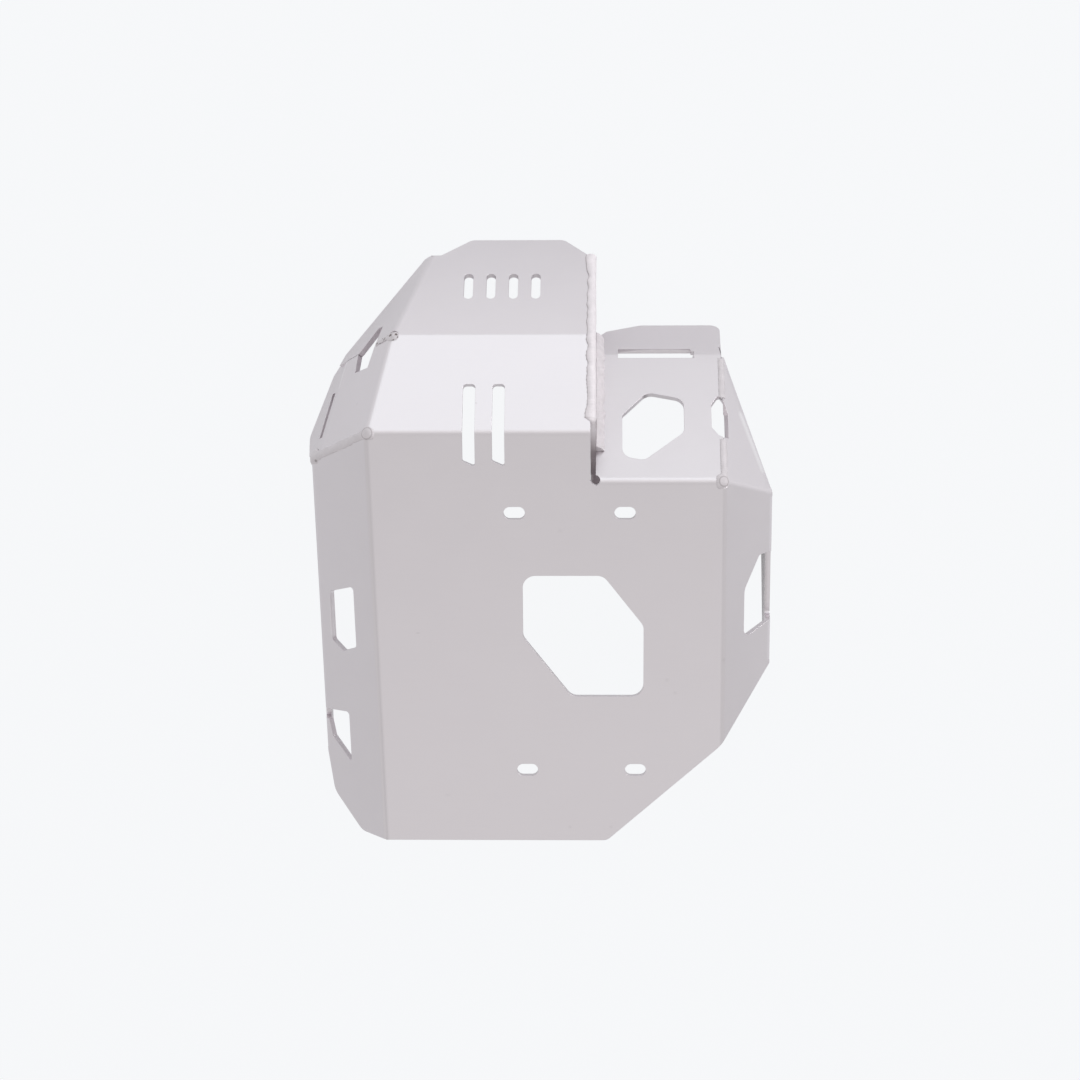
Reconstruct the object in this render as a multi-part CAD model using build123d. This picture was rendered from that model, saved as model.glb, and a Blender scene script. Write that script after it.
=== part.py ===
from build123d import *
import os
from math import cos, hypot, radians, sin, tan

os.makedirs("parts", exist_ok=True)

# A motorcycle skid plate: one aluminium blank, laser cut and folded into a shallow tub, with one
# web plate welded into the step of its nose. It lies on its mouth with its outer face up: +Y is
# the front of the motorcycle, +X the right of the outer face, and the bottom panel is level.
# Millimetres. Outlines are drawn on the outer faces, up to the sharp corners where the planes of
# two outer faces meet.

# Sheet
sheet = 4.0
bend_inside_r = 3.0
seam_gap = 0.5
corner_relief_r = 4.8
tip_relief_r = 1.3
cut_r = 3.0

# Depth from the bottom panel to the plane of the mouth, where the free edges end
mouth_depth = 135.5

# Bottom panel: widths left and right of the step web, length from the rear edge to the nose bend
bottom_length = 322.2
left_width_front = 164.9
left_width_rear = 157.5
right_width = 99.0
step_back = 36.8
rear_chamfer_x = 86.8
rear_chamfer_y = 78.2
rear_corner_r = 8.0

# Bolt slots, in two pairs, for M8 bolts
bolt_slot_width = 9.6
bolt_slot_length = 16.0
bolt_spacing = 82.0
front_bolts_x = -15.4
front_bolts_y = 260.9
rear_bolts_x = -7.2
rear_bolts_y = 57.8

# Drain window, with two large chamfers
window_width = 90.4
window_length = 95.4
window_x = -5.5
window_y = 164.7
window_front_chamfer = 30.2
window_rear_chamfer = 36.3
window_chamfer_slope = 1.3
window_corner_r = 9.5

# Nose: two slopes in front of the bottom panel's left part
nose_fold = 40.0
nose_length = 81.2
nose_taper = 16.5
brow_fold = 15.0
brow_taper_deg = 17.6
brow_shoulder = 82.7
brow_top_left = 57.0
brow_top_right = 20.5
brow_chamfer_left = 23.0
brow_corner_r = 8.0
brow_right_taper = 2.0

# Vent slots across the nose bend
vent_width = 9.2
vent_spacing = 21.9
vent_first_x = -89.6
vent_count = 2
vent_on_nose = 40.0
vent_on_bottom = 23.7
vent_slant = 4.2

# Plain slots in the brow panel
brow_slot_count = 4
brow_slot_spacing = 17.0
brow_slot_width = 7.0
brow_slot_length = 26.0
brow_slots_x = -67.0
brow_slots_y = 50.0

# Left side: shoulder, wall, cheek, lip and temple
shoulder_fold = 45.0
shoulder_width = 65.5
shoulder_rear_square = 28.5
shoulder_rear_cut = 25.0
shoulder_rear_taper = 6.0
shoulder_rear_r = 13.0
left_wall_back = 60.0
left_wall_angle = 84.5
cheek_fold = 50.4
cheek_width_low = 62.0
cheek_width_high = 58.0
lip_fold = 10.0
lip_foot = 22.0
lip_low = 35.5
lip_low_run = 20.0
lip_high = 21.5
lip_high_run = 6.3
lip_tip = 13.4
lip_tip_slant = 0.3
lip_end_gap = 4.0
lip_tip_gap = 0.4
temple_fold = 47.3
temple_reach = 66.5
temple_start = 12.0
temple_foot = 68.0
temple_edge = 8.0

# Right side: recessed slope, top flange, shoulder, wall and cheek
slope_fold = 52.0
slope_length = 120.8
flange_fold = 18.0
flange_step = 23.0
flange_rise = 9.5
flange_left_run = 34.0
flange_corner_r = 8.0
right_shoulder_fold = 45.0
right_shoulder_width = 53.0
right_shoulder_rake = 18.9
right_wall_angle = 88.6
right_cheek_fold = 35.9
right_cheek_top = 40.8
right_cheek_height = 112.0
right_lip_fold = 34.0
right_lip_bend_r = 9.0
right_lip_width = 14.0
right_lip_top_gap = 10.0
right_lip_end_gap = 4.0
right_lip_slant = 6.0
wall_gap = 3.0
wall_corner = 26.0
right_wall_rear_corner = 55.0
right_wall_slant = 14.0

# Slots in the sides, most of them across a bend or a seam
grip_slot_back = 150.8
grip_slot_length = 48.3
grip_slot_inset = 24.0
grip_slot_width = 28.5
grip_slot_slant = 9.5
grip_slot_point = 6.5
grip_slot_point_in = 12.5
left_slot_back = 54.0
left_slot_length = 41.5
left_slot_inset = 37.0
left_slot_knee_run = 16.5
left_slot_knee_in = 7.0
left_slot_mouth_back = 29.7
left_slot_tuck = 3.8
left_slot_drop = 9.0
right_slot_front = 65.0
right_slot_length = 61.0
right_slot_inset = 23.2
right_slot_shelf = 13.5
right_slot_slant = 24.0
right_slot_tuck = 7.0
right_slot_drop = 14.0
right_slot_r = 12.0
lip_slit_start = 12.0
lip_slit_length = 38.0
lip_slit_inset = 5.0
lip_slit_width = 6.0
temple_slot_near = 20.8
temple_slot_far = 43.2
temple_slot_on_cheek = 19.2
temple_slot_slant = 2.6
temple_slot_on_temple = 21.5
temple_slot_tip = 6.5
slope_hole_left = 19.7
slope_hole_right = 66.0
slope_hole_low = 19.3
slope_hole_high = 83.5
slope_hole_heel = 3.8
slope_hole_foot = 16.4
slope_hole_rise = 26.4
slope_hole_crest = 18.7
slope_hole_drop = 6.4
slope_hole_fall = 21.5
slope_hole_r = 9.0
seam_slot_low = 40.6
seam_slot_high = 76.8
seam_slot_on_slope = 8.6
seam_slot_crest = 3.5
seam_slot_foot = 2.0
seam_slot_head = 3.7
seam_slot_foot_cut = 9.4
seam_slot_head_cut = 5.1
seam_slot_on_cheek = 6.0
seam_slot_knee = 0.64
flange_slit_start = 16.7
flange_slit_length = 58.0
flange_slit_width = 7.3
flange_slit_below = 0.3
flange_slit_slant = 3.0

# Step web, the relief at its foot, and the tongue and tab that back the relief from inside
web_setback = 2.0
web_overrun = 2.0
web_foot_nose = 15.2
web_foot_slope = 24.2
web_relief_r = 3.3
web_tongue_drop = 30.0
web_tongue_height = 8.0
web_tongue_back = 3.0
web_tongue_front = 27.0
web_tab_width = 14.0
web_tab_length = 20.0

# Weld beads
left_bead_width = 8.0
bead_width = 6.4
bead_crown = 0.3
bead_root = 2.2
web_bead_toe = 3.3
web_bead_crown = 1.2
web_bead_drop = 4.2
web_bead_overrun = 3.3
fillet_leg = 6.5
fillet_crown = 0.7
plug_ball_r = 7.7
plug_ball_depth = 8.4
plug_root = 5.5
plug_lap = 1.6
tail_ball_r = 10.0
tail_ball_depth = 9.5
tail_lap = 4.0
bead_end_gap = 1.5

bend_outside_r = bend_inside_r + sheet
cut_reach = 3 * sheet
BASE = (Align.CENTER, Align.CENTER, Align.MIN)


class Panel:
    """One flat panel: its outer face's frame, with u along its bend and v away from it."""

    def __init__(self, origin, along, outward):
        self.origin = Vector(origin)
        self.along = Vector(along).normalized()
        self.outward = Vector(outward).normalized()
        self.away = self.outward.cross(self.along).normalized()
        self.plane = Plane(self.origin, x_dir=self.along, z_dir=self.outward)

    def at(self, u, v, w=0.0):
        """The point of the model at a place on this panel."""
        return self.origin + self.along * u + self.away * v + self.outward * w

    def place(self, point):
        """The place on this panel below a point of the model."""
        offset = Vector(point) - self.origin
        return offset.dot(self.along), offset.dot(self.away)

    def folded(self, start, end, angle):
        """The panel folded inwards by an angle along a line of this one, from start to end."""
        first = self.at(*start)
        axis = (self.at(*end) - first).normalized()
        return Panel(first, axis, self.outward.rotate(Axis((0, 0, 0), axis), -angle))


def outline(corners):
    """A face from corners (u, v) or (u, v, radius)."""
    points = [(corner[0], corner[1]) for corner in corners]
    radii = [corner[2] if len(corner) > 2 else 0.0 for corner in corners]
    if any(radii):
        return make_face(FilletPolyline(*points, radius=radii, close=True))
    return make_face(Polyline(*points, close=True))


def plate(panel, corners):
    """A panel's solid: its outline, one sheet thick, inwards from the outer face."""
    return extrude(panel.plane * outline(corners), amount=-sheet)


def punch(panel, corners):
    """The solid that cuts an outline through a panel, square to it."""
    return extrude(panel.plane * outline(corners), amount=cut_reach, both=True)


def round_punch(panel, u, v, radius):
    """The solid that drills a round hole through a panel."""
    return extrude(panel.plane * Pos(u, v) * Circle(radius), amount=cut_reach, both=True)


def bend(parent, child, length, inside_r=bend_inside_r):
    """The cutter that clears a bend's sharp corner, and the curved strip that takes its place."""
    angle = parent.outward.get_angle(child.outward)
    outside_r = inside_r + sheet
    setback = outside_r * tan(radians(angle / 2))
    section = Plane(child.origin, x_dir=parent.outward.cross(child.along), z_dir=child.along)

    def on_arc(radius, turn):
        return (radius * sin(radians(turn)) - setback, radius * cos(radians(turn)) - outside_r)

    clear_r = outside_r + sheet
    kite = Polyline(
        on_arc(0, 0),
        on_arc(clear_r, 0),
        on_arc(clear_r / cos(radians(angle / 2)), angle / 2),
        on_arc(clear_r, angle),
        close=True,
    )
    outer = ThreePointArc(*[on_arc(outside_r, turn) for turn in (0, angle / 2, angle)])
    inner = ThreePointArc(*[on_arc(inside_r, turn) for turn in (angle, angle / 2, 0)])
    ring = [outer, Line(outer @ 1, inner @ 0), inner, Line(inner @ 1, outer @ 0)]
    clear = extrude(section * make_face(kite), amount=length)
    strip = extrude(section * make_face(ring), amount=length)
    return clear, strip


def seam_way(first, second):
    """The direction in which two panels meet, towards the mouth."""
    way = first.outward.cross(second.outward).normalized()
    return way if way.Z < 0 else way * -1


def on_seam(corner, way, panel, reach):
    """The place on a panel where a seam from a corner is a given distance away from the panel's bend."""
    near = panel.place(corner)
    far = panel.place(Vector(corner) + way)
    share = reach / (far[1] - near[1])
    return near[0] + (far[0] - near[0]) * share, near[1] + reach


def seam_section(corner, way, panels):
    """The plane across a seam, with its y axis outwards between the two panels."""
    out = (panels[0].outward + panels[1].outward).normalized()
    return Plane(corner, x_dir=out.cross(way), z_dir=way)


def seam_cut(corner, way, panels, length):
    """The thin gap between two edges that meet along a seam."""
    section = seam_section(corner, way, panels)
    return extrude(section * Rectangle(seam_gap, 2 * cut_reach), amount=length)


def depth_to_mouth(panel, angle):
    """The length of a panel from its bend to the mouth plane, where its inner edge ends."""
    return (panel.origin.Z - sheet * cos(radians(angle))) / sin(radians(angle))


# Panels, from the bottom panel out to the free edges
slope_bend_y = bottom_length - step_back

bottom = Panel((0, 0, mouth_depth), (1, 0, 0), (0, 0, 1))
nose_corner = (-left_width_front, bottom_length)
slope_corner = (right_width, slope_bend_y)

nose = bottom.folded(nose_corner, (0, bottom_length), nose_fold)
nose_right = left_width_front
nose_edge = hypot(nose_taper, nose_length)
brow = nose.folded((nose_taper, nose_length), (nose_right, nose_length), brow_fold)
brow_right = nose_right - nose_taper
brow_length = depth_to_mouth(brow, nose_fold + brow_fold)
brow_edge_top = brow_shoulder * tan(radians(brow_taper_deg))

shoulder = bottom.folded((-left_width_rear, 0), nose_corner, shoulder_fold)
shoulder_length = hypot(left_width_front - left_width_rear, bottom_length)
cheek = nose.folded((0, 0), (nose_taper, nose_length), cheek_fold)
temple = brow.folded((0, 0), (brow_edge_top, brow_shoulder), temple_fold)
temple_length = hypot(brow_edge_top, brow_shoulder)

slope = bottom.folded((sheet, slope_bend_y), slope_corner, slope_fold)
slope_right = right_width - sheet
flange = slope.folded((0, slope_length), (slope_right, slope_length), flange_fold)
flange_length = depth_to_mouth(flange, slope_fold + flange_fold)
right_shoulder = bottom.folded(slope_corner, (right_width, 0), right_shoulder_fold)
right_shoulder_end = slope_bend_y - rear_chamfer_y
right_cheek = right_shoulder.folded((0, 0), (right_shoulder_rake, right_shoulder_width), right_cheek_fold)
right_cheek_foot = hypot(right_shoulder_rake, right_shoulder_width)

# Seams, where two folded panels meet edge to edge
left_seam = seam_way(shoulder, cheek)
upper_seam = seam_way(cheek, temple)
right_seam = seam_way(slope, right_cheek)
left_seam_end = on_seam(nose.origin, left_seam, shoulder, shoulder_width)
cheek_low = on_seam(nose.origin, left_seam, cheek, cheek_width_low)
cheek_high = on_seam(brow.origin, upper_seam, cheek, cheek_width_high)
temple_low = on_seam(brow.origin, upper_seam, temple, temple_foot)
slope_seam_end = on_seam(right_shoulder.origin, right_seam, slope, slope_length)
right_cheek_end = on_seam(right_shoulder.origin, right_seam, right_cheek, right_cheek_height)

# Walls and lip, folded once more from the sides
left_wall_end = left_seam_end[0] - wall_gap
left_wall = shoulder.folded(
    (left_wall_back, shoulder_width), (left_wall_end, shoulder_width), left_wall_angle - shoulder_fold
)
left_wall_length = left_wall_end - left_wall_back
left_wall_depth = depth_to_mouth(left_wall, left_wall_angle)

right_wall_start = right_shoulder_rake + wall_gap
right_wall_end = right_shoulder_end - right_shoulder_width - wall_gap
right_wall = right_shoulder.folded(
    (right_wall_start, right_shoulder_width),
    (right_wall_end, right_shoulder_width),
    right_wall_angle - right_shoulder_fold,
)
right_wall_length = right_wall_end - right_wall_start
right_wall_depth = depth_to_mouth(right_wall, right_wall_angle)

cheek_edge = Vector(*cheek_high) - Vector(*cheek_low)
lip_way = cheek_edge.normalized()
lip_start = Vector(*cheek_low) + lip_way * lip_end_gap
lip_end = Vector(*cheek_high) - lip_way * lip_tip_gap
lip = cheek.folded((lip_start.X, lip_start.Y), (lip_end.X, lip_end.Y), lip_fold)
lip_length = (lip_end - lip_start).length

right_cheek_edge = Vector(right_cheek_foot, 0) - Vector(right_cheek_top, right_cheek_height)
right_lip_way = right_cheek_edge.normalized()
right_lip_start = Vector(right_cheek_top, right_cheek_height) + right_lip_way * right_lip_top_gap
right_lip_end = Vector(right_cheek_foot, 0) - right_lip_way * right_lip_end_gap
right_lip = right_cheek.folded(
    (right_lip_start.X, right_lip_start.Y), (right_lip_end.X, right_lip_end.Y), right_lip_fold
)
right_lip_length = (right_lip_end - right_lip_start).length


def sharp_blank():
    """All the panels joined along their sharp corners."""
    return (
        plate(bottom, [
            (-left_width_rear, 0),
            (right_width - rear_chamfer_x, 0, rear_corner_r),
            (right_width, rear_chamfer_y),
            slope_corner,
            (0, slope_bend_y),
            (0, bottom_length),
            nose_corner,
        ])
        + plate(nose, [(0, 0), (nose_right, 0), (nose_right, nose_length), (nose_taper, nose_length)])
        + plate(brow, [
            (0, 0),
            (brow_right, 0),
            (brow_right, brow_shoulder),
            (brow_right - brow_right_taper, brow_shoulder),
            (brow_right - brow_top_right, brow_length, brow_corner_r),
            (brow_top_left, brow_length, brow_corner_r),
            (brow_top_left - brow_chamfer_left, brow_shoulder, brow_corner_r / 2),
            (brow_edge_top, brow_shoulder),
        ])
        + plate(shoulder, [
            (0, 0),
            (shoulder_length, 0),
            left_seam_end,
            (left_wall_back - wall_gap, shoulder_width),
            (shoulder_rear_cut, shoulder_width - shoulder_rear_taper, shoulder_rear_r),
            (0, shoulder_rear_square, shoulder_rear_r),
        ])
        + plate(cheek, [(0, 0), (nose_edge, 0), cheek_high, cheek_low])
        + plate(temple, [
            (0, 0),
            (temple_length, 0),
            (temple_length, temple_edge),
            (temple_start, temple_reach, rear_corner_r / 2),
            temple_low,
        ])
        + plate(slope, [(0, 0), (slope_right, 0), slope_seam_end, (0, slope_length)])
        + plate(flange, [
            (0, 0),
            (slope_seam_end[0], 0),
            (slope_seam_end[0], flange_length, flange_corner_r),
            (flange_left_run, flange_length, flange_corner_r),
            (flange_corner_r, flange_step + flange_rise, flange_corner_r / 2),
            (0, flange_step),
        ])
        + plate(right_shoulder, [
            (0, 0),
            (right_shoulder_end, 0),
            (right_shoulder_end - right_shoulder_width, right_shoulder_width),
            (right_shoulder_rake, right_shoulder_width),
        ])
        + plate(right_cheek, [
            (0, 0),
            (right_cheek_foot, 0),
            (right_cheek_top, right_cheek_height),
            right_cheek_end,
        ])
        + plate(left_wall, [
            (0, 0),
            (left_wall_length, 0),
            (left_wall_length, left_wall_depth - wall_corner, rear_corner_r),
            (left_wall_length - wall_corner, left_wall_depth, rear_corner_r),
            (wall_corner, left_wall_depth, rear_corner_r),
            (0, left_wall_depth - wall_corner, rear_corner_r),
        ])
        + plate(right_wall, [
            (0, 0),
            (right_wall_length, 0),
            (right_wall_length, right_wall_depth - right_wall_rear_corner, rear_corner_r),
            (right_wall_length - right_wall_rear_corner, right_wall_depth, rear_corner_r),
            (right_wall_slant + wall_corner, right_wall_depth, rear_corner_r),
            (right_wall_slant, right_wall_depth - wall_corner, rear_corner_r),
        ])
        + plate(lip, [
            (0, 0),
            (lip_length, 0),
            (lip_length - lip_tip_slant, lip_tip),
            (lip_length - lip_high_run, lip_high),
            (lip_low_run, lip_low, rear_corner_r),
            (0, lip_foot),
        ])
        + plate(right_lip, [
            (0, 0),
            (right_lip_length, 0),
            (right_lip_length - right_lip_slant, right_lip_width, cut_r),
            (right_lip_slant, right_lip_width, cut_r),
        ])
    )


def folds():
    """Every bend of the blank: parent panel, child panel, length and, where it isn't usual, radius."""
    return [
        (bottom, nose, left_width_front),
        (nose, brow, brow_right),
        (bottom, shoulder, shoulder_length),
        (nose, cheek, nose_edge),
        (brow, temple, temple_length),
        (bottom, slope, slope_right),
        (slope, flange, slope_seam_end[0]),
        (bottom, right_shoulder, right_shoulder_end + sheet),
        (right_shoulder, right_cheek, right_cheek_foot),
        (shoulder, left_wall, left_wall_length),
        (right_shoulder, right_wall, right_wall_length),
        (cheek, lip, lip_length),
        (right_cheek, right_lip, right_lip_length, right_lip_bend_r),
    ]


def parent_side(child, parent):
    """The parent panel's face, framed on the child's bend: v is negative on the parent."""
    return Panel(child.origin, child.along, parent.outward)


def bend_slot(parent, child, on_parent, on_child):
    """The cutter for a slot across a bend, from its corners on each side, as (u, v) from the bend line."""
    return punch(parent_side(child, parent), on_parent) + punch(child, on_child)


def corner_relief(corner, panels):
    """The cutter for the round relief where three bends meet."""
    out = sum((panel.outward for panel in panels), Vector(0, 0, 0)).normalized()
    return extrude(Plane(corner, z_dir=out) * Circle(corner_relief_r), amount=cut_reach, both=True)


def bottom_cuts():
    """Bolt slots, drain window and the relief at the foot of the web."""
    cuts = []
    half = (bolt_slot_length - bolt_slot_width) / 2
    for x, y in ((front_bolts_x, front_bolts_y), (rear_bolts_x, rear_bolts_y)):
        for side in (-1, 1):
            slot = SlotCenterToCenter(2 * half, bolt_slot_width)
            face = bottom.plane * Pos(x + side * bolt_spacing / 2, y) * slot
            cuts.append(extrude(face, amount=cut_reach, both=True))
    left = window_x - window_width / 2
    right = window_x + window_width / 2
    rear = window_y - window_length / 2
    front = window_y + window_length / 2
    r = window_corner_r
    cuts.append(punch(bottom, [
        (left, front, r),
        (right - window_front_chamfer, front, r),
        (right, front - window_front_chamfer * window_chamfer_slope, r),
        (right, rear, r),
        (left + window_rear_chamfer, rear, r),
        (left, rear + window_rear_chamfer * window_chamfer_slope, r),
    ]))
    cuts.append(round_punch(bottom, sheet, slope_bend_y, web_relief_r))
    return cuts


def front_cuts():
    """Vent slots across the nose bend, plain slots in the brow, and the openings of the recessed slope."""
    cuts = []
    lap = bend_outside_r / 2
    for index in range(vent_count):
        u = vent_first_x + index * vent_spacing + left_width_front
        left, right = u - vent_width / 2, u + vent_width / 2
        on_bottom = [
            (left, lap), (right, lap),
            (right, -vent_on_bottom - vent_slant / 2, cut_r / 2),
            (left, -vent_on_bottom + vent_slant / 2, cut_r / 2),
        ]
        on_nose = [(left, -lap), (right, -lap), (right, vent_on_nose, cut_r), (left, vent_on_nose, cut_r)]
        cuts.append(bend_slot(bottom, nose, on_bottom, on_nose))
    first = brow_slots_x - brow_slot_spacing * (brow_slot_count - 1) / 2
    for index in range(brow_slot_count):
        u = first + index * brow_slot_spacing + brow_right
        slot = SlotOverall(brow_slot_length, brow_slot_width, rotation=90)
        cuts.append(extrude(brow.plane * Pos(u, brow_slots_y) * slot, amount=cut_reach, both=True))
    r = slope_hole_r
    cuts.append(punch(slope, [
        (slope_hole_left, slope_hole_low + slope_hole_heel, r),
        (slope_hole_left + slope_hole_foot, slope_hole_low, r),
        (slope_hole_right, slope_hole_low + slope_hole_rise, r),
        (slope_hole_right, slope_hole_high - slope_hole_drop, r),
        (slope_hole_left + slope_hole_crest, slope_hole_high, r),
        (slope_hole_left, slope_hole_high - slope_hole_fall, r / 2),
    ]))
    start, end = flange_slit_start, flange_slit_start + flange_slit_length
    on_slope = [(start, -flange_slit_below), (end, -flange_slit_below), (end, lap), (start, lap)]
    top = flange_slit_width
    on_flange = [(start, -lap), (end, -lap), (end - flange_slit_slant, top), (start, top)]
    cuts.append(bend_slot(slope, flange, on_slope, on_flange))
    return cuts


def side_cuts():
    """Slots of the left and right sides."""
    cuts = []
    lap = bend_outside_r / 2
    r = cut_r
    inner, outer = grip_slot_inset, grip_slot_inset + grip_slot_width
    middle = outer - grip_slot_point_in
    front = grip_slot_back + grip_slot_length
    cuts.append(punch(shoulder, [
        (grip_slot_back, inner, r),
        (front, inner, r),
        (front - grip_slot_slant, outer, r),
        (grip_slot_back, outer, r),
        (grip_slot_back - grip_slot_point, middle, r),
    ]))
    back = left_slot_back - left_wall_back
    front = back + left_slot_length
    depth = shoulder_width - left_slot_inset
    mouth_back, mouth_front = back + left_slot_mouth_back, front - left_slot_tuck
    on_shoulder = [
        (back, -depth, r / 2), (front, -depth, r), (mouth_front, 0), (mouth_front, lap),
        (mouth_back, lap), (mouth_back, -lap), (back + left_slot_knee_run, -left_slot_knee_in, r),
    ]
    on_wall = [
        (mouth_back, -lap), (mouth_front, -lap),
        (mouth_front, left_slot_drop, r), (mouth_back, left_slot_drop, r),
    ]
    cuts.append(bend_slot(shoulder, left_wall, on_shoulder, on_wall))
    front = right_slot_front - right_wall_start
    back = front + right_slot_length
    depth = right_shoulder_width - right_slot_inset
    on_shoulder = [
        (front, lap), (front, -right_slot_shelf, r), (front + right_slot_slant, -depth, right_slot_r),
        (back - r, -depth, r), (back, -depth + 2 * r, r),
        (back - right_slot_tuck, 0), (back - right_slot_tuck, lap),
    ]
    on_wall = [
        (front, -lap), (back - right_slot_tuck, -lap),
        (back - right_slot_tuck, right_slot_drop, r), (front, right_slot_drop, r),
    ]
    cuts.append(bend_slot(right_shoulder, right_wall, on_shoulder, on_wall))
    start, end = lip_slit_start, lip_slit_start + lip_slit_length
    inner, outer = lip_slit_inset, lip_slit_inset + lip_slit_width
    cuts.append(punch(lip, [(start, inner), (end, inner), (end, outer), (start, outer)]))
    cuts.append(round_punch(shoulder, left_seam_end[0], shoulder_width - bend_outside_r, tip_relief_r))
    return cuts


def seam_slots():
    """The slots that cross the upper left seam and the right seam."""
    lap = seam_gap
    near = on_seam(brow.origin, upper_seam, cheek, temple_slot_near)
    far = on_seam(brow.origin, upper_seam, cheek, temple_slot_far)
    foot = near[0] - temple_slot_on_cheek
    on_cheek = [
        (foot, near[1] + temple_slot_slant), (near[0] + lap, near[1]),
        (far[0] + lap, far[1]), (foot, far[1] - temple_slot_slant),
    ]
    near, far = temple.place(cheek.at(*near)), temple.place(cheek.at(*far))
    top = temple_slot_on_temple
    on_temple = [
        (near[0] - lap, near[1]), (top, near[1] + cut_r),
        (top, near[1] + cut_r + temple_slot_tip), (far[0] - lap, far[1]),
    ]
    cuts = [punch(cheek, on_cheek) + punch(temple, on_temple)]
    low = on_seam(right_shoulder.origin, right_seam, slope, seam_slot_low)
    high = on_seam(right_shoulder.origin, right_seam, slope, seam_slot_high)
    side = low[0] - seam_slot_on_slope
    on_slope = [
        (low[0] + lap, low[1]),
        (low[0] - seam_slot_crest, low[1] + seam_slot_foot, cut_r / 2),
        (side, low[1] + seam_slot_foot_cut, cut_r),
        (side, high[1] - seam_slot_head_cut, cut_r),
        (high[0] - seam_slot_crest, high[1] + seam_slot_head, cut_r / 2),
        (high[0] + lap, high[1]),
    ]
    low, high = right_cheek.place(slope.at(*low)), right_cheek.place(slope.at(*high))
    knee = Vector(*low) + (Vector(*high) - Vector(*low)) * seam_slot_knee
    on_cheek = [
        (low[0] - lap, low[1]), (low[0] + seam_slot_on_cheek, low[1]),
        (knee.X + seam_slot_on_cheek, knee.Y, cut_r), (high[0] + lap, high[1]), (high[0] - lap, high[1]),
    ]
    cuts.append(punch(slope, on_slope) + punch(right_cheek, on_cheek))
    return cuts


def raked_end():
    """The cutter that ends the right shoulder's bend on the slant of the two edges that meet there."""
    corner = bottom.at(right_width, rear_chamfer_y)
    between = Panel(corner, right_shoulder.along, bottom.outward + right_shoulder.outward)
    half = radians(right_shoulder_fold / 2)
    setback = bend_outside_r * tan(half)
    across = setback * cos(half)
    return punch(between, [
        (setback * rear_chamfer_y / rear_chamfer_x, -across),
        (-setback, across),
        (2 * cut_reach, across),
        (2 * cut_reach, -across),
    ])


def make_blank():
    """The folded blank: panels, bends, corner reliefs, open seams and every cut-out."""
    solid = sharp_blank()
    for fold in folds():
        clear, strip = bend(*fold)
        solid = solid - clear + strip
    cuts = [
        raked_end(),
        corner_relief(nose.origin, (bottom, nose, shoulder, cheek)),
        corner_relief(brow.origin, (nose, brow, cheek, temple)),
        corner_relief(right_shoulder.origin, (bottom, slope, right_shoulder, right_cheek)),
        seam_cut(nose.origin, left_seam, (shoulder, cheek), left_seam_length + lip_low),
        seam_cut(brow.origin, upper_seam, (cheek, temple), upper_seam_length),
        seam_cut(right_shoulder.origin, right_seam, (slope, right_cheek), right_seam_length + cut_reach),
    ]
    for cut in cuts + bottom_cuts() + front_cuts() + side_cuts() + seam_slots():
        solid = solid - cut
    return solid


def inset_corner(first, second, corner, depth):
    """The corner of two panels' faces, set in by a depth below both of them."""
    out = (first.outward + second.outward).normalized()
    return corner - out * (depth / out.dot(first.outward))


def make_web():
    """The plate that closes the step beside the recessed slope, with a folded tab under the bottom panel."""
    under = sheet + web_overrun
    points = [
        slope.at(0, web_foot_slope, -under),
        inset_corner(slope, flange, slope.at(0, slope_length), under),
        flange.at(0, flange_step, -under),
        brow.at(brow_right, brow_shoulder, -web_setback),
        inset_corner(nose, brow, brow.at(brow_right, 0), web_setback),
        nose.at(nose_right, web_foot_nose, -web_setback),
    ]
    side = Plane((0, 0, 0), x_dir=(0, 1, 0), z_dir=(1, 0, 0))
    closing = extrude(side * outline([(point.Y, point.Z) for point in points]), amount=sheet)
    top = mouth_depth - web_tongue_drop
    low = top - web_tongue_height
    back, front = slope_bend_y - web_tongue_back, slope_bend_y + web_tongue_front
    tongue = extrude(side * outline([(back, low), (front, low), (front, top), (back, top)]), amount=sheet)
    across = Plane((0, back, 0), x_dir=(1, 0, 0), z_dir=(0, -1, 0))
    tab = extrude(across * outline([
        (0, low),
        (0, top, bend_outside_r),
        (web_tab_width, top),
        (web_tab_width, top - sheet),
        (sheet, top - sheet, bend_inside_r),
        (sheet, low),
    ]), amount=web_tab_length)
    return closing + tongue + tab


def biggest(shape):
    """The largest solid of a shape."""
    return sorted(shape.solids(), key=lambda solid: solid.volume)[-1]


def seam_bead(corner, way, panels, width, start, end):
    """A weld bead over a seam, from one distance to another along it, and down into its gap."""
    section = seam_section(Vector(corner) + way * start, way, panels)
    half = width / 2
    drop = half * tan(radians(panels[0].outward.get_angle(panels[1].outward) / 2))
    crown = ThreePointArc((-half, -drop), (0, bead_crown), (half, -drop))
    root = (0, -drop - bead_root)
    edges = [crown, Line((half, -drop), root), Line(root, (-half, -drop))]
    return extrude(section * make_face(edges), amount=end - start)


def corner_plug(corner, panels, ball_r=plug_ball_r, ball_depth=plug_ball_depth, lap=plug_lap):
    """The round of weld that fills a corner relief and laps its rim."""
    out = sum((panel.outward for panel in panels), Vector(0, 0, 0)).normalized()
    ball = Pos(0, 0, -ball_depth) * Sphere(ball_r)
    column = Pos(0, 0, -plug_root) * Cylinder(corner_relief_r + lap, 2 * plug_root, align=BASE)
    return Plane(corner, z_dir=out) * (ball & column)


def run_bead(panel, u, start, end, edges):
    """A bead of one section, from one distance from a panel's bend to another, at a place along it."""
    section = Plane(panel.at(u, start), x_dir=panel.along, z_dir=panel.away * -1)
    return extrude(section * make_face(edges), amount=start - end)


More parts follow.
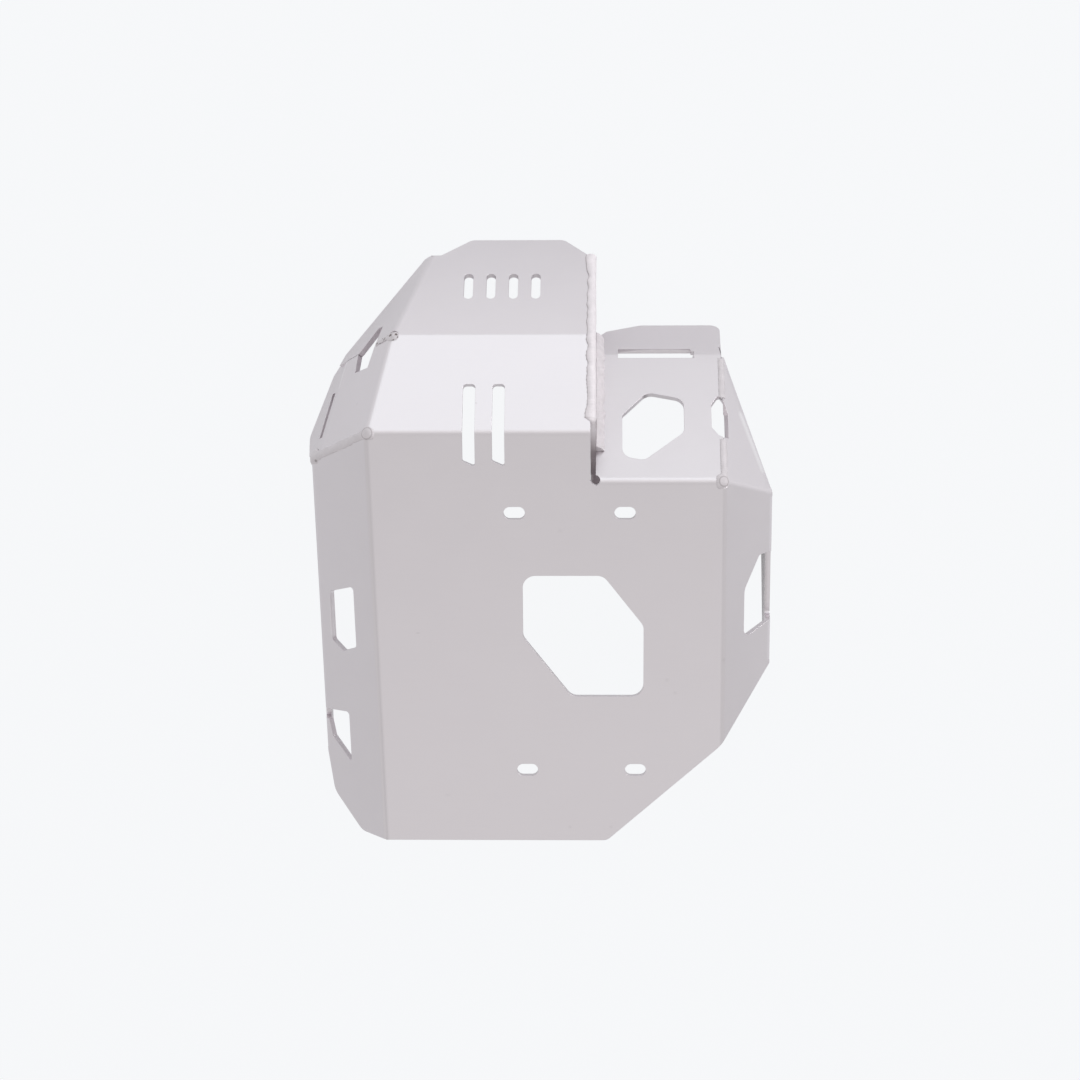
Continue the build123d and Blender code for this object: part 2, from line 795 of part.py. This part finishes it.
def web_edge_bead():
    """The bead over the outer corner between the nose, the brow and the web."""
    toe, end = (-web_bead_toe, 0), (sheet, -web_bead_drop)
    edges = [ThreePointArc(toe, (sheet / 2, web_bead_crown), end), Line(end, toe)]
    lap = web_bead_drop * tan(radians(brow_fold / 2))
    low = run_bead(nose, nose_right, web_foot_nose - web_bead_overrun, nose_length + lap, edges)
    high = run_bead(brow, brow_right, -lap, brow_shoulder, edges)
    middle, half = (sheet - web_bead_toe) / 2, (sheet + web_bead_toe) / 2
    tail = nose.at(nose_right + middle, web_foot_nose - web_bead_overrun, web_bead_crown - half)
    return low + high + Pos(tail.X, tail.Y, tail.Z) * Sphere(half)


def web_fillet_bead():
    """The fillet in the inner corner between the web, the recessed slope and its flange."""
    leg = fillet_leg
    swell = leg / 2 + fillet_crown
    face = ThreePointArc((leg, 0), (swell, swell), (0, leg))
    edges = [face, Line((0, leg), (0, 0)), Line((0, 0), (leg, 0))]
    lap = leg * tan(radians(flange_fold / 2))
    low = run_bead(slope, 0, web_foot_slope + leg / 2, slope_length + lap, edges)
    high = run_bead(flange, 0, -lap, flange_step - bead_end_gap, edges)
    return low + high


def seam_reach(corner, way, panel, away):
    """The distance along a seam to where it is a given distance away from a panel's bend."""
    return (panel.at(*on_seam(corner, way, panel, away)) - Vector(corner)).length


def make_welds(blank, web):
    """Every weld bead by name, each cut back to the plates that it joins."""
    bead_start = corner_relief_r / 2
    left = (nose.origin, left_seam, (shoulder, cheek), left_bead_width)
    left_tail = (shoulder.at(*left_seam_end), (shoulder, cheek, left_wall, lip))
    upper = (brow.origin, upper_seam, (cheek, temple), bead_width)
    right = (right_shoulder.origin, right_seam, (slope, right_cheek), bead_width)
    upper_near = seam_reach(brow.origin, upper_seam, cheek, temple_slot_near) - bead_end_gap
    right_low = seam_reach(right_shoulder.origin, right_seam, slope, seam_slot_low) - bead_end_gap
    right_high = seam_reach(right_shoulder.origin, right_seam, slope, seam_slot_high) + bead_end_gap
    raw = {
        "left_corner_weld":
            seam_bead(*left, bead_start, left_seam_length)
            + corner_plug(nose.origin, (bottom, nose, shoulder, cheek))
            + corner_plug(*left_tail, tail_ball_r, tail_ball_depth, tail_lap),
        "upper_left_weld":
            seam_bead(*upper, bead_start, upper_near) + corner_plug(brow.origin, (nose, brow, cheek, temple)),
        "right_corner_weld":
            seam_bead(*right, bead_start, right_low)
            + corner_plug(right_shoulder.origin, (bottom, slope, right_shoulder, right_cheek)),
        "right_upper_weld": seam_bead(*right, right_high, right_seam_length - bead_end_gap),
        "web_edge_weld": web_edge_bead(),
        "web_fillet_weld": web_fillet_bead(),
    }
    return {name: biggest(bead - blank - web) for name, bead in raw.items()}


left_seam_length = (shoulder.at(*left_seam_end) - nose.origin).length
upper_seam_length = (cheek.at(*cheek_high) - brow.origin).length
right_seam_length = (right_cheek.at(*right_cheek_end) - right_shoulder.origin).length

blank = make_blank()
web = make_web()
nodes = {"skid_plate_blank": blank, "step_web_plate": web}
nodes.update(make_welds(blank, web))

# The origin is below the middle of the whole part, in the plane of its mouth
whole = Compound(children=[biggest(solid) for solid in nodes.values()]).bounding_box()
middle = whole.center()
for name, solid in nodes.items():
    placed = Pos(-middle.X, -middle.Y, -whole.min.Z) * biggest(solid)
    export_step(placed, "parts/" + name + ".step")
    print(name, len(solid.solids()), round(placed.volume), placed.is_valid)
print("whole", whole.size, "moved by", -middle.X, -middle.Y, -whole.min.Z)
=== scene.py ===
import math
import bmesh
import bpy
import numpy as np
from collections import namedtuple
from mathutils import Matrix, Vector, noise


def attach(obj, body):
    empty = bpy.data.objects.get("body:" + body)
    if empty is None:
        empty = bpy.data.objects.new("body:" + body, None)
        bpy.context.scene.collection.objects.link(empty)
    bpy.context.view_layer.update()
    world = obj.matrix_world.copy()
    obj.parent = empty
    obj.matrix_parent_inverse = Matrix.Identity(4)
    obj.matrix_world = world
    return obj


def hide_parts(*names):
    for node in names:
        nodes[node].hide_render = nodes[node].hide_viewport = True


# A folded and welded aluminium skid plate on a pale floor, outer face up, seen from above and a
# little in front. Metres, in the frame of the part: +Y is its front and +Z its outer face.
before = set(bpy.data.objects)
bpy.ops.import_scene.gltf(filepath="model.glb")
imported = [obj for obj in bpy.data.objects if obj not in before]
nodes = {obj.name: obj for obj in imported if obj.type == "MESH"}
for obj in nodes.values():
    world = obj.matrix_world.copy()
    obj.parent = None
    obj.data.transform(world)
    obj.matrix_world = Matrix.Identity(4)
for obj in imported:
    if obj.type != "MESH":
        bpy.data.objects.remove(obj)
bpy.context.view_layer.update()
scene = bpy.context.scene
scene.view_settings.view_transform = "Standard"
mm = 0.001
to_right = (1.0, 0.0, 0.0)
to_front = (0.0, 1.0, 0.0)

# Camera: the place, and the turn in degrees, that bring the panels' outlines onto the photograph
camera_place = (0.0507, 0.5674, 1.9833)
camera_pitch = 16.5
camera_yaw = -1.5
camera_roll = 0.45
image_side = 1080
focal_pixels = 2600
sensor_width = 36.0

# Satin sheet: colour, gloss, rolling grain, soft clouds and softened edges
sheet_light = (0.815, 0.77, 0.795)
sheet_dark = (0.765, 0.72, 0.745)
sheet_roughness = 0.33
sheet_roughness_spread = 0.05
grain_length = 38 * mm
grain_width = 0.32 * mm
grain_height = 0.004 * mm
grain_detail = 3.0
cloud_size = 34 * mm
cloud_detail = 3.0
speckle_size = 0.7 * mm
speckle_detail = 1.0
edge_radius = 0.45 * mm
edge_samples = 4

# Dark marks on the sheet: their places, half widths and strengths; their colour also paints shade on
# the web plate
mark_and_shade_colour = (0.40, 0.36, 0.37)
Mark = namedtuple("Mark", "place reach strength")
sheet_marks = [
    Mark((-0.0898, -0.0529, 0.1355), (2.2 * mm, 0.7 * mm, 2 * mm), 0.30),
    Mark((0.0971, -0.0901, 0.1355), (2.2 * mm, 2.2 * mm, 2 * mm), 0.12),
    Mark((0.1032, -0.1004, 0.1355), (2.0 * mm, 2.0 * mm, 2 * mm), 0.12),
    Mark((0.1398, -0.0745, 0.1343), (2.2 * mm, 2.2 * mm, 3 * mm), 0.14),
    Mark((0.0236, -0.2095, 0.1355), (1.8 * mm, 1.8 * mm, 2 * mm), 0.14),
    Mark((0.0550, -0.2094, 0.1355), (1.8 * mm, 1.8 * mm, 2 * mm), 0.14),
    Mark((0.0172, 0.0268, 0.1355), (3.0 * mm, 2.0 * mm, 2 * mm), 0.08),
    Mark((-0.0696, -0.1834, 0.1355), (3.0 * mm, 2.0 * mm, 2 * mm), 0.08),
    Mark((-0.1343, 0.1151, 0.0998), (2.0 * mm, 2.0 * mm, 2 * mm), 0.12),
    Mark((-0.0445, 0.1205, 0.1198), (1.4 * mm, 1.0 * mm, 2 * mm), 0.25),
]

# Places painted in a colour of their own and less metallic: painted shade on the inner face of the
# right wall, which the slot shows, and a painted highlight on the cut edge of the slit in the flange
PaintedLight = namedtuple("PaintedLight", "mark colour")
painted_light_places = [
    PaintedLight(Mark((0.1732, -0.030, 0.030), (3.2 * mm, 80 * mm, 62 * mm), 2.2), (0.40, 0.37, 0.37)),
    PaintedLight(Mark((0.0945, 0.1386, 0.0322), (38 * mm, 3.6 * mm, 2.6 * mm), 5.0), (0.98, 0.94, 0.96)),
]

# Painted highlights along the right cheek's rim, a grip slot's cut edge and the left lip's crease:
# their ends, half widths and strengths
painted_highlight_colour = (0.95, 0.92, 0.935)
Stroke = namedtuple("Stroke", "start end reach strength")
painted_highlight_lines = [
    Stroke((0.1689, 0.0615, 0.0906), (0.1535, 0.0984, 0.0687), 4.2 * mm, 0.90),
    Stroke((-0.1570, -0.0330, 0.0968), (-0.1572, -0.0660, 0.0968), 3.0 * mm, 1.00),
    Stroke((-0.1463, 0.1359, 0.0486), (-0.1515, 0.1186, 0.0620), 1.3 * mm, 0.60),
]

# Painted shade on the inner end of the web plate, deep in the part, and the dark spots of the welds: a
# pinhole and a crater
web_painted_shade = [
    Mark((0.0417, 0.078, 0.104), (14 * mm, 50 * mm, 18 * mm), 2.6),
]
weld_marks = [
    Mark((-0.1672, 0.0697, 0.0941), (1.6 * mm, 1.6 * mm, 3 * mm), 1.0),
    Mark((0.0483, 0.0817, 0.1142), (1.6 * mm, 0.9 * mm, 2 * mm), 1.0),
]

# Dark rims of the round weld plugs: the plugs' middles, radii, half widths and strengths
Rim = namedtuple("Rim", "middle radius half strength")
rims = [
    Rim((-0.12516, 0.10183, 0.1355), 4.6 * mm, 0.7 * mm, 0.45),
    Rim((0.13874, 0.06503, 0.1355), 4.1 * mm, 0.8 * mm, 0.45),
]

# Weld metal: colour, gloss, mesh, ripples, pits, and painted shade in a dark line along a toe at low X
weld_light = (0.97, 0.933, 0.952)
weld_dark = (0.66, 0.630, 0.645)
weld_clouds = 0.40
weld_cloud_size = 5 * mm
weld_speckle_detail = 2.0
weld_roughness = 0.84
weld_roughness_spread = 0.08
join_distance = 0.001 * mm
weld_voxel = 0.42 * mm
weld_lift = 0.10 * mm
ripple_bow = 35.0
pit_and_toe_shade_colour = (0.30, 0.26, 0.255)
pit_start = 0.34
pit_dark_depth = 0.15 * mm
pit_shift = Vector((7, 3, 5))
toe_line_start = 0.90
toe_line_darkness = 0.30

# Each bead: how light it is, how often it is smoothed, height and length in mm of its ripples, waves,
# grain and pits, and how far and in what length one toe wanders along X, in mm too; a reach below
# zero is for the toe at low X
no_height = (0, 1)
Bead = namedtuple("Bead", "tone smoothing ripple wave grain pit toe", defaults=(no_height, no_height))
beads = {
    "left_corner_weld": Bead(0.46, 16, (0.008, 2.4), (0.08, 9), (0.02, 1.6)),
    "upper_left_weld": Bead(0.40, 4, (0.05, 2.0), (0.25, 4), (0.22, 1.5), pit=(1.2, 2.0)),
    "right_corner_weld": Bead(0.34, 16, (0.015, 2.1), (0.08, 8), (0.02, 1.3)),
    "right_upper_weld": Bead(0.28, 30, (0.012, 2.1), (0.06, 8), (0.02, 1.3)),
    "web_edge_weld": Bead(0.68, 5, (0.02, 2.3), (0.35, 12), (0.06, 1.4), toe=(-1.9, 7)),
    "web_fillet_weld": Bead(0.46, 5, (0.02, 2.0), (0.25, 9), (0.12, 1.2), toe=(1.4, 6)),
}

# Where beads were dressed flatter: the place, the way and depth that the metal went, and the reach
Press = namedtuple("Press", "place push reach")
presses = [
    Press(Vector((-0.1675, 0.0625, 0.0920)), Vector((1.9 * mm, 0, -1.9 * mm)), 9 * mm),
    Press(Vector((0.1387, 0.0650, 0.1345)), Vector((0, 0, -0.7 * mm)), 9 * mm),
]

# Floor: colour, and the share of it that the eye and the metal see unshaded. The metal sees more of
# it under the part, and most well in front of the part.
floor_colour = (0.93, 0.94, 0.955)
floor_half = 6.0
floor_seen = 0.98
floor_mirrored = 0.30
floor_mirrored_more = 0.95
floor_mirror_strength = 0.80
floor_mirror_strength_more = 1.06
below_middle = (0.0, -0.03, 0.0)
below_half = (0.19, 0.19, 1.0)
below_fade = 0.10
below_share = 0.35
front_start = 0.35
front_fade = 0.30

# Light from all round, and softboxes: each one's place, the point that it faces, size and watts
world_colour = (1.0, 1.0, 1.0)
world_strength = 0.595
Softbox = namedtuple("Softbox", "name place target size power colour")
softboxes = [
    Softbox("front_softbox", (0, 2.4, 1.0), (0, 0.1, 0.08), (4.4, 1.5), 10.4, (0.95, 1.04, 1.07)),
    Softbox("front_core", (0, 2.2, 0.62), (0, 0.1, 0.08), (2.6, 0.6), 0.6, (0.95, 1.04, 1.07)),
    Softbox("upper_front_softbox", (0, 1.9, 2.1), (0, 0.1, 0.08), (4.0, 1.3), 4.6, (1, 1, 1)),
    Softbox("top_softbox", (0, 0.4, 2.6), (0, 0.4, 0), (3.2, 3.2), 2.8, (1, 1, 1)),
    Softbox("rear_softbox", (0.2, -1.8, 2.4), (0, 0, 0.1), (3.0, 2.2), 3.4, (1, 1, 1)),
    Softbox("left_softbox", (-2.3, -2.1, 1.2), (0, -0.3, 0.1), (3.0, 1.8), 2.0, (1, 1, 1)),
    Softbox("right_softbox", (2.3, -0.6, 1.2), (0, 0, 0.1), (3.0, 1.8), 1.4, (1, 1, 1)),
    Softbox("right_fill", (1.4, 1.1, 0.6), (0.3, 0.3, 0.0), (0.9, 0.8), 10.0, (1, 1, 1)),
]


def feed(tree, socket, value):
    """Links a socket to another node's output, or sets its value."""
    if isinstance(value, bpy.types.NodeSocket):
        tree.links.new(value, socket)
    else:
        socket.default_value = value


def maths(tree, operation, *values, clamp=False):
    """A number from numbers."""
    made = tree.nodes.new("ShaderNodeMath")
    made.operation = operation
    made.use_clamp = clamp
    for socket, value in zip(made.inputs, values):
        feed(tree, socket, value)
    return made.outputs["Value"]


def vectors(tree, operation, *values, output="Vector"):
    """A vector, or a number, from vectors."""
    made = tree.nodes.new("ShaderNodeVectorMath")
    made.operation = operation
    for socket, value in zip(made.inputs, values):
        feed(tree, socket, value)
    return made.outputs[output]


def scaled(tree, vector, factor):
    """A vector times a number."""
    made = tree.nodes.new("ShaderNodeVectorMath")
    made.operation = "SCALE"
    feed(tree, made.inputs["Vector"], vector)
    feed(tree, made.inputs["Scale"], factor)
    return made.outputs["Vector"]


def noise_at(tree, place, sizes, detail):
    """Noise at a place, about 0.5 in the middle, with features of the given sizes."""
    made = tree.nodes.new("ShaderNodeTexNoise")
    made.inputs["Scale"].default_value = 1.0
    made.inputs["Detail"].default_value = detail
    feed(tree, made.inputs["Vector"], vectors(tree, "DIVIDE", place, sizes))
    return made.outputs["Fac"]


def average(tree, first, second):
    """The middle of two numbers."""
    return maths(tree, "MULTIPLY", maths(tree, "ADD", first, second), 0.5)


def spread(tree, value, middle, reach):
    """A value from 0 to 1 spread over a range."""
    made = tree.nodes.new("ShaderNodeMapRange")
    feed(tree, made.inputs["Value"], value)
    made.inputs["To Min"].default_value = middle - reach
    made.inputs["To Max"].default_value = middle + reach
    return made.outputs["Result"]


def between(tree, share, low, high):
    """A number between two others."""
    return maths(tree, "ADD", maths(tree, "MULTIPLY", share, high - low), low)


def blend(tree, share, first, second):
    """A colour between two others."""
    made = tree.nodes.new("ShaderNodeMix")
    made.data_type = "RGBA"
    sockets = {socket.identifier: socket for socket in made.inputs}
    feed(tree, sockets["Factor_Float"], share)
    for name, colour in (("A_Color", first), ("B_Color", second)):
        feed(tree, sockets[name], (*colour, 1) if isinstance(colour, tuple) else colour)
    return next(socket for socket in made.outputs if socket.identifier == "Result_Color")


def bare_material(name):
    """A material without a shader, its node tree and the socket of its surface."""
    material = bpy.data.materials.new(name)
    material.use_nodes = True
    tree = material.node_tree
    tree.nodes.clear()
    output = tree.nodes.new("ShaderNodeOutputMaterial")
    return material, tree, output.inputs["Surface"]


def metal(name):
    """A metal material, its node tree and its shader."""
    material, tree, surface = bare_material(name)
    shader = tree.nodes.new("ShaderNodeBsdfPrincipled")
    shader.inputs["Metallic"].default_value = 1.0
    tree.links.new(shader.outputs["BSDF"], surface)
    return material, tree, shader


def along_the_sheet(tree, place, facing):
    """The place on a panel: along the rolling direction, which lies across the part, and crosswise."""
    lean = vectors(tree, "DOT_PRODUCT", facing, to_right, output="Value")
    flat = vectors(tree, "SUBTRACT", to_right, scaled(tree, facing, lean))
    rolling = vectors(tree, "NORMALIZE", flat)
    crossing = vectors(tree, "CROSS_PRODUCT", facing, rolling)
    made = tree.nodes.new("ShaderNodeCombineXYZ")
    feed(tree, made.inputs["X"], vectors(tree, "DOT_PRODUCT", place, rolling, output="Value"))
    feed(tree, made.inputs["Y"], vectors(tree, "DOT_PRODUCT", place, crossing, output="Value"))
    return made.outputs["Vector"]


def mark_share(tree, place, mark):
    """How much of a mark is seen at a place, from 0 to 1."""
    offset = vectors(tree, "DIVIDE", vectors(tree, "SUBTRACT", place, mark.place), mark.reach)
    far = vectors(tree, "LENGTH", offset, output="Value")
    inside = maths(tree, "SUBTRACT", 1.0, far, clamp=True)
    return maths(tree, "MULTIPLY", inside, mark.strength, clamp=True)


def marked(tree, place, colour, marks):
    """A colour with dark marks on it, which on the web plate are painted shade."""
    for mark in marks:
        colour = blend(tree, mark_share(tree, place, mark), colour, mark_and_shade_colour)
    return colour


def with_painted_highlights(tree, place, colour):
    """A colour with the painted highlight lines on it."""
    for stroke in painted_highlight_lines:
        run = Vector(stroke.end) - Vector(stroke.start)
        offset = vectors(tree, "SUBTRACT", place, stroke.start)
        along = vectors(tree, "DOT_PRODUCT", offset, tuple(run), output="Value")
        share = maths(tree, "DIVIDE", along, run.length_squared, clamp=True)
        nearest = scaled(tree, tuple(run), share)
        far = vectors(tree, "DISTANCE", offset, nearest, output="Value")
        inside = maths(tree, "SUBTRACT", 1.0, maths(tree, "DIVIDE", far, stroke.reach), clamp=True)
        colour = blend(tree, maths(tree, "MULTIPLY", inside, stroke.strength), colour, painted_highlight_colour)
    return colour


def rimmed(tree, place, colour):
    """A colour with the dark rims of the plugs on it."""
    for rim in rims:
        far = vectors(tree, "DISTANCE", place, rim.middle, output="Value")
        off = maths(tree, "ABSOLUTE", maths(tree, "SUBTRACT", far, rim.radius))
        inside = maths(tree, "SUBTRACT", 1.0, maths(tree, "DIVIDE", off, rim.half), clamp=True)
        colour = blend(tree, maths(tree, "MULTIPLY", inside, rim.strength), colour, mark_and_shade_colour)
    return colour


def with_painted_light(tree, place, colour):
    """A colour with the painted shade and the painted highlight on it, where the sheet is less
    metallic, and how metallic the sheet is there.
    """
    metallic = 1.0
    for painted_place in painted_light_places:
        share = mark_share(tree, place, painted_place.mark)
        colour = blend(tree, share, colour, painted_place.colour)
        metallic = maths(tree, "SUBTRACT", metallic, share)
    return colour, metallic


def sheet_material(name, marks):
    """Satin aluminium sheet: fine rolling grain, soft clouds, marks, painted shade and painted
    highlights, and softened edges.
    """
    material, tree, shader = metal(name)
    geometry = tree.nodes.new("ShaderNodeNewGeometry")
    place = geometry.outputs["Position"]
    on_panel = along_the_sheet(tree, place, geometry.outputs["True Normal"])
    grain = noise_at(tree, on_panel, (grain_length, grain_width, 1.0), grain_detail)
    clouds = noise_at(tree, place, (cloud_size,) * 3, cloud_detail)
    speckle = noise_at(tree, place, (speckle_size,) * 3, speckle_detail)
    tone = blend(tree, average(tree, clouds, grain), sheet_dark, sheet_light)
    # Dark marks, then painted highlight lines along the cheek's rim, a slot's cut edge and the lip's
    # crease
    tone = with_painted_highlights(tree, place, marked(tree, place, tone, marks))
    # Painted shade on the right wall's inner face and a painted highlight on the flange slit's cut
    # edge
    tone, metallic = with_painted_light(tree, place, tone)
    feed(tree, shader.inputs["Base Color"], tone)
    feed(tree, shader.inputs["Metallic"], metallic)
    roughness = spread(tree, average(tree, clouds, speckle), sheet_roughness, sheet_roughness_spread)
    feed(tree, shader.inputs["Roughness"], roughness)
    edges = tree.nodes.new("ShaderNodeBevel")
    edges.samples = edge_samples
    edges.inputs["Radius"].default_value = edge_radius
    bump = tree.nodes.new("ShaderNodeBump")
    bump.inputs["Distance"].default_value = grain_height
    feed(tree, bump.inputs["Height"], grain)
    feed(tree, bump.inputs["Normal"], edges.outputs["Normal"])
    feed(tree, shader.inputs["Normal"], bump.outputs["Normal"])
    return material


def kept(tree, name):
    """The number that a mesh keeps at each of its points under a name."""
    made = tree.nodes.new("ShaderNodeAttribute")
    made.attribute_name = name
    return made.outputs["Fac"]


def weld_material():
    """Weld metal: greyer than the sheet, cloudy, with dark pits and painted shade along a toe."""
    material, tree, shader = metal("weld_aluminium")
    geometry = tree.nodes.new("ShaderNodeNewGeometry")
    place = geometry.outputs["Position"]
    clouds = noise_at(tree, place, (weld_cloud_size,) * 3, cloud_detail)
    speckle = noise_at(tree, place, (speckle_size,) * 3, weld_speckle_detail)
    cloudy = spread(tree, clouds, 0.0, weld_clouds / 2)
    lightness = maths(tree, "ADD", kept(tree, "tone"), cloudy, clamp=True)
    tone = blend(tree, lightness, weld_dark, weld_light)
    tone = rimmed(tree, place, marked(tree, place, tone, weld_marks))
    tone = blend(tree, kept(tree, "pits_and_toe_shade"), tone, pit_and_toe_shade_colour)
    feed(tree, shader.inputs["Base Color"], tone)
    roughness = spread(tree, speckle, weld_roughness, weld_roughness_spread)
    feed(tree, shader.inputs["Roughness"], roughness)
    return material


def dress(mesh, material):
    """Gives a mesh its only material."""
    mesh.materials.clear()
    mesh.materials.append(material)


def finely_meshed(node, smoothing):
    """A copy of a CAD node with an even, fine and smoothed mesh."""
    piece = bpy.data.objects.new(node + "_rippled", nodes[node].data.copy())
    scene.collection.objects.link(piece)
    joined = bmesh.new()
    joined.from_mesh(piece.data)
    bmesh.ops.remove_doubles(joined, verts=joined.verts, dist=join_distance)
    joined.to_mesh(piece.data)
    joined.free()
    remesh = piece.modifiers.new("even", "REMESH")
    remesh.mode = "VOXEL"
    remesh.voxel_size = weld_voxel
    smooth = piece.modifiers.new("smooth", "SMOOTH")
    smooth.iterations = smoothing
    evaluated = piece.evaluated_get(bpy.context.evaluated_depsgraph_get())
    mesh = bpy.data.meshes.new_from_object(evaluated)
    piece.modifiers.clear()
    piece.data = mesh
    return piece


def run_of(mesh):
    """The middle of a mesh and the direction in which it is longest."""
    points = np.array([vertex.co for vertex in mesh.vertices])
    middle = points.mean(0)
    _, _, ways = np.linalg.svd(points - middle, full_matrices=False)
    return Vector(middle), Vector(ways[0])


def noise_of(place, shape):
    """Height of a bead's waves or grain at a place, or how far its toe wanders."""
    height, length = shape
    return height * mm * noise.noise(place / (length * mm))


def ripple_of(place, middle, way, shape):
    """Height of a bead's ripples at a place: bowed rows across the run."""
    height, length = shape
    offset = place - middle
    along = offset.dot(way)
    aside = (offset - way * along).length
    turns = (along - ripple_bow * aside * aside) / (length * mm)
    return height * mm * math.cos(2 * math.pi * turns)


def pit_of(place, shape):
    """Depth of a bead's pits at a place."""
    depth, length = shape
    over = noise.noise(place / (length * mm) + pit_shift) - pit_start
    return depth * mm * max(0.0, over)


def pressed(place):
    """How far the dressing of the beads moved the metal at a place."""
    moved = Vector((0, 0, 0))
    for press in presses:
        moved += press.push * max(0.0, 1.0 - (place - press.place).length / press.reach)
    return moved


def toe_shares(mesh, side):
    """How near each point of a mesh is to its toe at low or high X, from 0 to 1."""
    across = np.array([vertex.co.x for vertex in mesh.vertices]) * side
    return (across - across.min()) / (across.max() - across.min())


def make_weld(node, bead, material):
    """A bead with its ripples, waves, grain, pits and wandering toe, in the place of the CAD node."""
    piece = finely_meshed(node, bead.smoothing)
    mesh = piece.data
    middle, way = run_of(mesh)
    toe_reach = bead.toe[0]
    shares = toe_shares(mesh, math.copysign(1.0, toe_reach))
    places = []
    darkness = []
    for vertex, share in zip(mesh.vertices, shares):
        pit = pit_of(vertex.co, bead.pit)
        height = weld_lift + ripple_of(vertex.co, middle, way, bead.ripple) - pit
        height += noise_of(vertex.co, bead.wave) + noise_of(vertex.co, bead.grain)
        on_run = middle + way * (vertex.co - middle).dot(way)
        aside = Vector((share * noise_of(on_run, bead.toe), 0, 0))
        places.append(vertex.co + vertex.normal * height + aside + pressed(vertex.co))
        dark = min(1.0, pit / pit_dark_depth)
        # Painted shade: a dark line along the toe at low X, where the bead meets the sheet
        if toe_reach < 0 and share > toe_line_start:
            dark = max(dark, toe_line_darkness)
        darkness.append(dark)
    for vertex, place in zip(mesh.vertices, places):
        vertex.co = place
    for name, values in (("pits_and_toe_shade", darkness), ("tone", [bead.tone] * len(darkness))):
        mesh.attributes.new(name, "FLOAT", "POINT").data.foreach_set("value", values)
    mesh.shade_smooth()
    dress(mesh, material)
    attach(piece, "root")
    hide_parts(node)


def floor_material():
    """A pale floor with a faint shadow, which the eye and the metal see near its own colour."""
    material, tree, surface = bare_material("pale_floor")
    shaded = tree.nodes.new("ShaderNodeBsdfDiffuse")
    shaded.inputs["Color"].default_value = (*floor_colour, 1)
    path = tree.nodes.new("ShaderNodeLightPath")
    place = tree.nodes.new("ShaderNodeNewGeometry").outputs["Position"]
    offset = vectors(tree, "SUBTRACT", place, below_middle)
    far = vectors(tree, "LENGTH", vectors(tree, "DIVIDE", offset, below_half), output="Value")
    inward = maths(tree, "SUBTRACT", 1.0 + below_fade, far)
    below = maths(tree, "DIVIDE", inward, below_fade, clamp=True)
    forward = vectors(tree, "DOT_PRODUCT", place, to_front, output="Value")
    onward = maths(tree, "SUBTRACT", forward, front_start)
    front = maths(tree, "DIVIDE", onward, front_fade, clamp=True)
    bright = maths(tree, "MAXIMUM", maths(tree, "MULTIPLY", below, below_share), front)
    mirrored = between(tree, bright, floor_mirrored, floor_mirrored_more)
    strength = between(tree, bright, floor_mirror_strength, floor_mirror_strength_more)
    seen = shaded.outputs["BSDF"]
    sights = (
        ("Is Camera Ray", floor_seen, 1.0),
        ("Is Glossy Ray", mirrored, strength),
        ("Is Transmission Ray", floor_seen, 1.0),
    )
    for ray, share, power in sights:
        glow = tree.nodes.new("ShaderNodeEmission")
        glow.inputs["Color"].default_value = (*floor_colour, 1)
        feed(tree, glow.inputs["Strength"], power)
        mixed = tree.nodes.new("ShaderNodeMixShader")
        feed(tree, mixed.inputs["Fac"], maths(tree, "MULTIPLY", path.outputs[ray], share))
        tree.links.new(seen, mixed.inputs[1])
        tree.links.new(glow.outputs["Emission"], mixed.inputs[2])
        seen = mixed.outputs["Shader"]
    tree.links.new(seen, surface)
    return material


def make_floor():
    """The floor that the part lies on."""
    mesh = bpy.data.meshes.new("floor")
    corners = [(-1, -1), (1, -1), (1, 1), (-1, 1)]
    mesh.from_pydata([(x * floor_half, y * floor_half, 0) for x, y in corners], [], [(0, 1, 2, 3)])
    mesh.materials.append(floor_material())
    floor = bpy.data.objects.new("floor", mesh)
    scene.collection.objects.link(floor)


def make_light():
    """Even light all round, and large softboxes."""
    world = bpy.data.worlds.new("studio")
    world.use_nodes = True
    background = world.node_tree.nodes["Background"]
    background.inputs["Color"].default_value = (*world_colour, 1)
    background.inputs["Strength"].default_value = world_strength
    scene.world = world
    for box in softboxes:
        data = bpy.data.lights.new(box.name, "AREA")
        data.shape = "RECTANGLE"
        data.size, data.size_y = box.size
        data.energy = box.power
        data.color = box.colour
        lamp = bpy.data.objects.new(box.name, data)
        lamp.location = box.place
        facing = Vector(box.target) - Vector(box.place)
        lamp.rotation_euler = facing.to_track_quat("-Z", "Y").to_euler()
        scene.collection.objects.link(lamp)


def make_camera():
    """The camera: turned about X, Y and Z so that the part is seen as it was photographed."""
    data = bpy.data.cameras.new("camera")
    data.sensor_width = sensor_width
    data.lens = focal_pixels * sensor_width / image_side
    camera = bpy.data.objects.new("camera", data)
    turn = (
        Matrix.Rotation(math.radians(camera_roll), 3, "Z")
        @ Matrix.Rotation(math.radians(camera_pitch), 3, "X")
        @ Matrix.Rotation(math.radians(camera_yaw), 3, "Y")
    )
    camera.matrix_world = Matrix.Translation(camera_place) @ turn.transposed().to_4x4()
    scene.collection.objects.link(camera)
    scene.camera = camera


weld_metal = weld_material()
dress(nodes["skid_plate_blank"].data, sheet_material("satin_sheet_aluminium", sheet_marks))
# The web plate gets painted shade on its inner end
dress(nodes["step_web_plate"].data, sheet_material("satin_web_aluminium", web_painted_shade))
for node, bead in beads.items():
    make_weld(node, bead, weld_metal)
make_floor()
make_light()
make_camera()
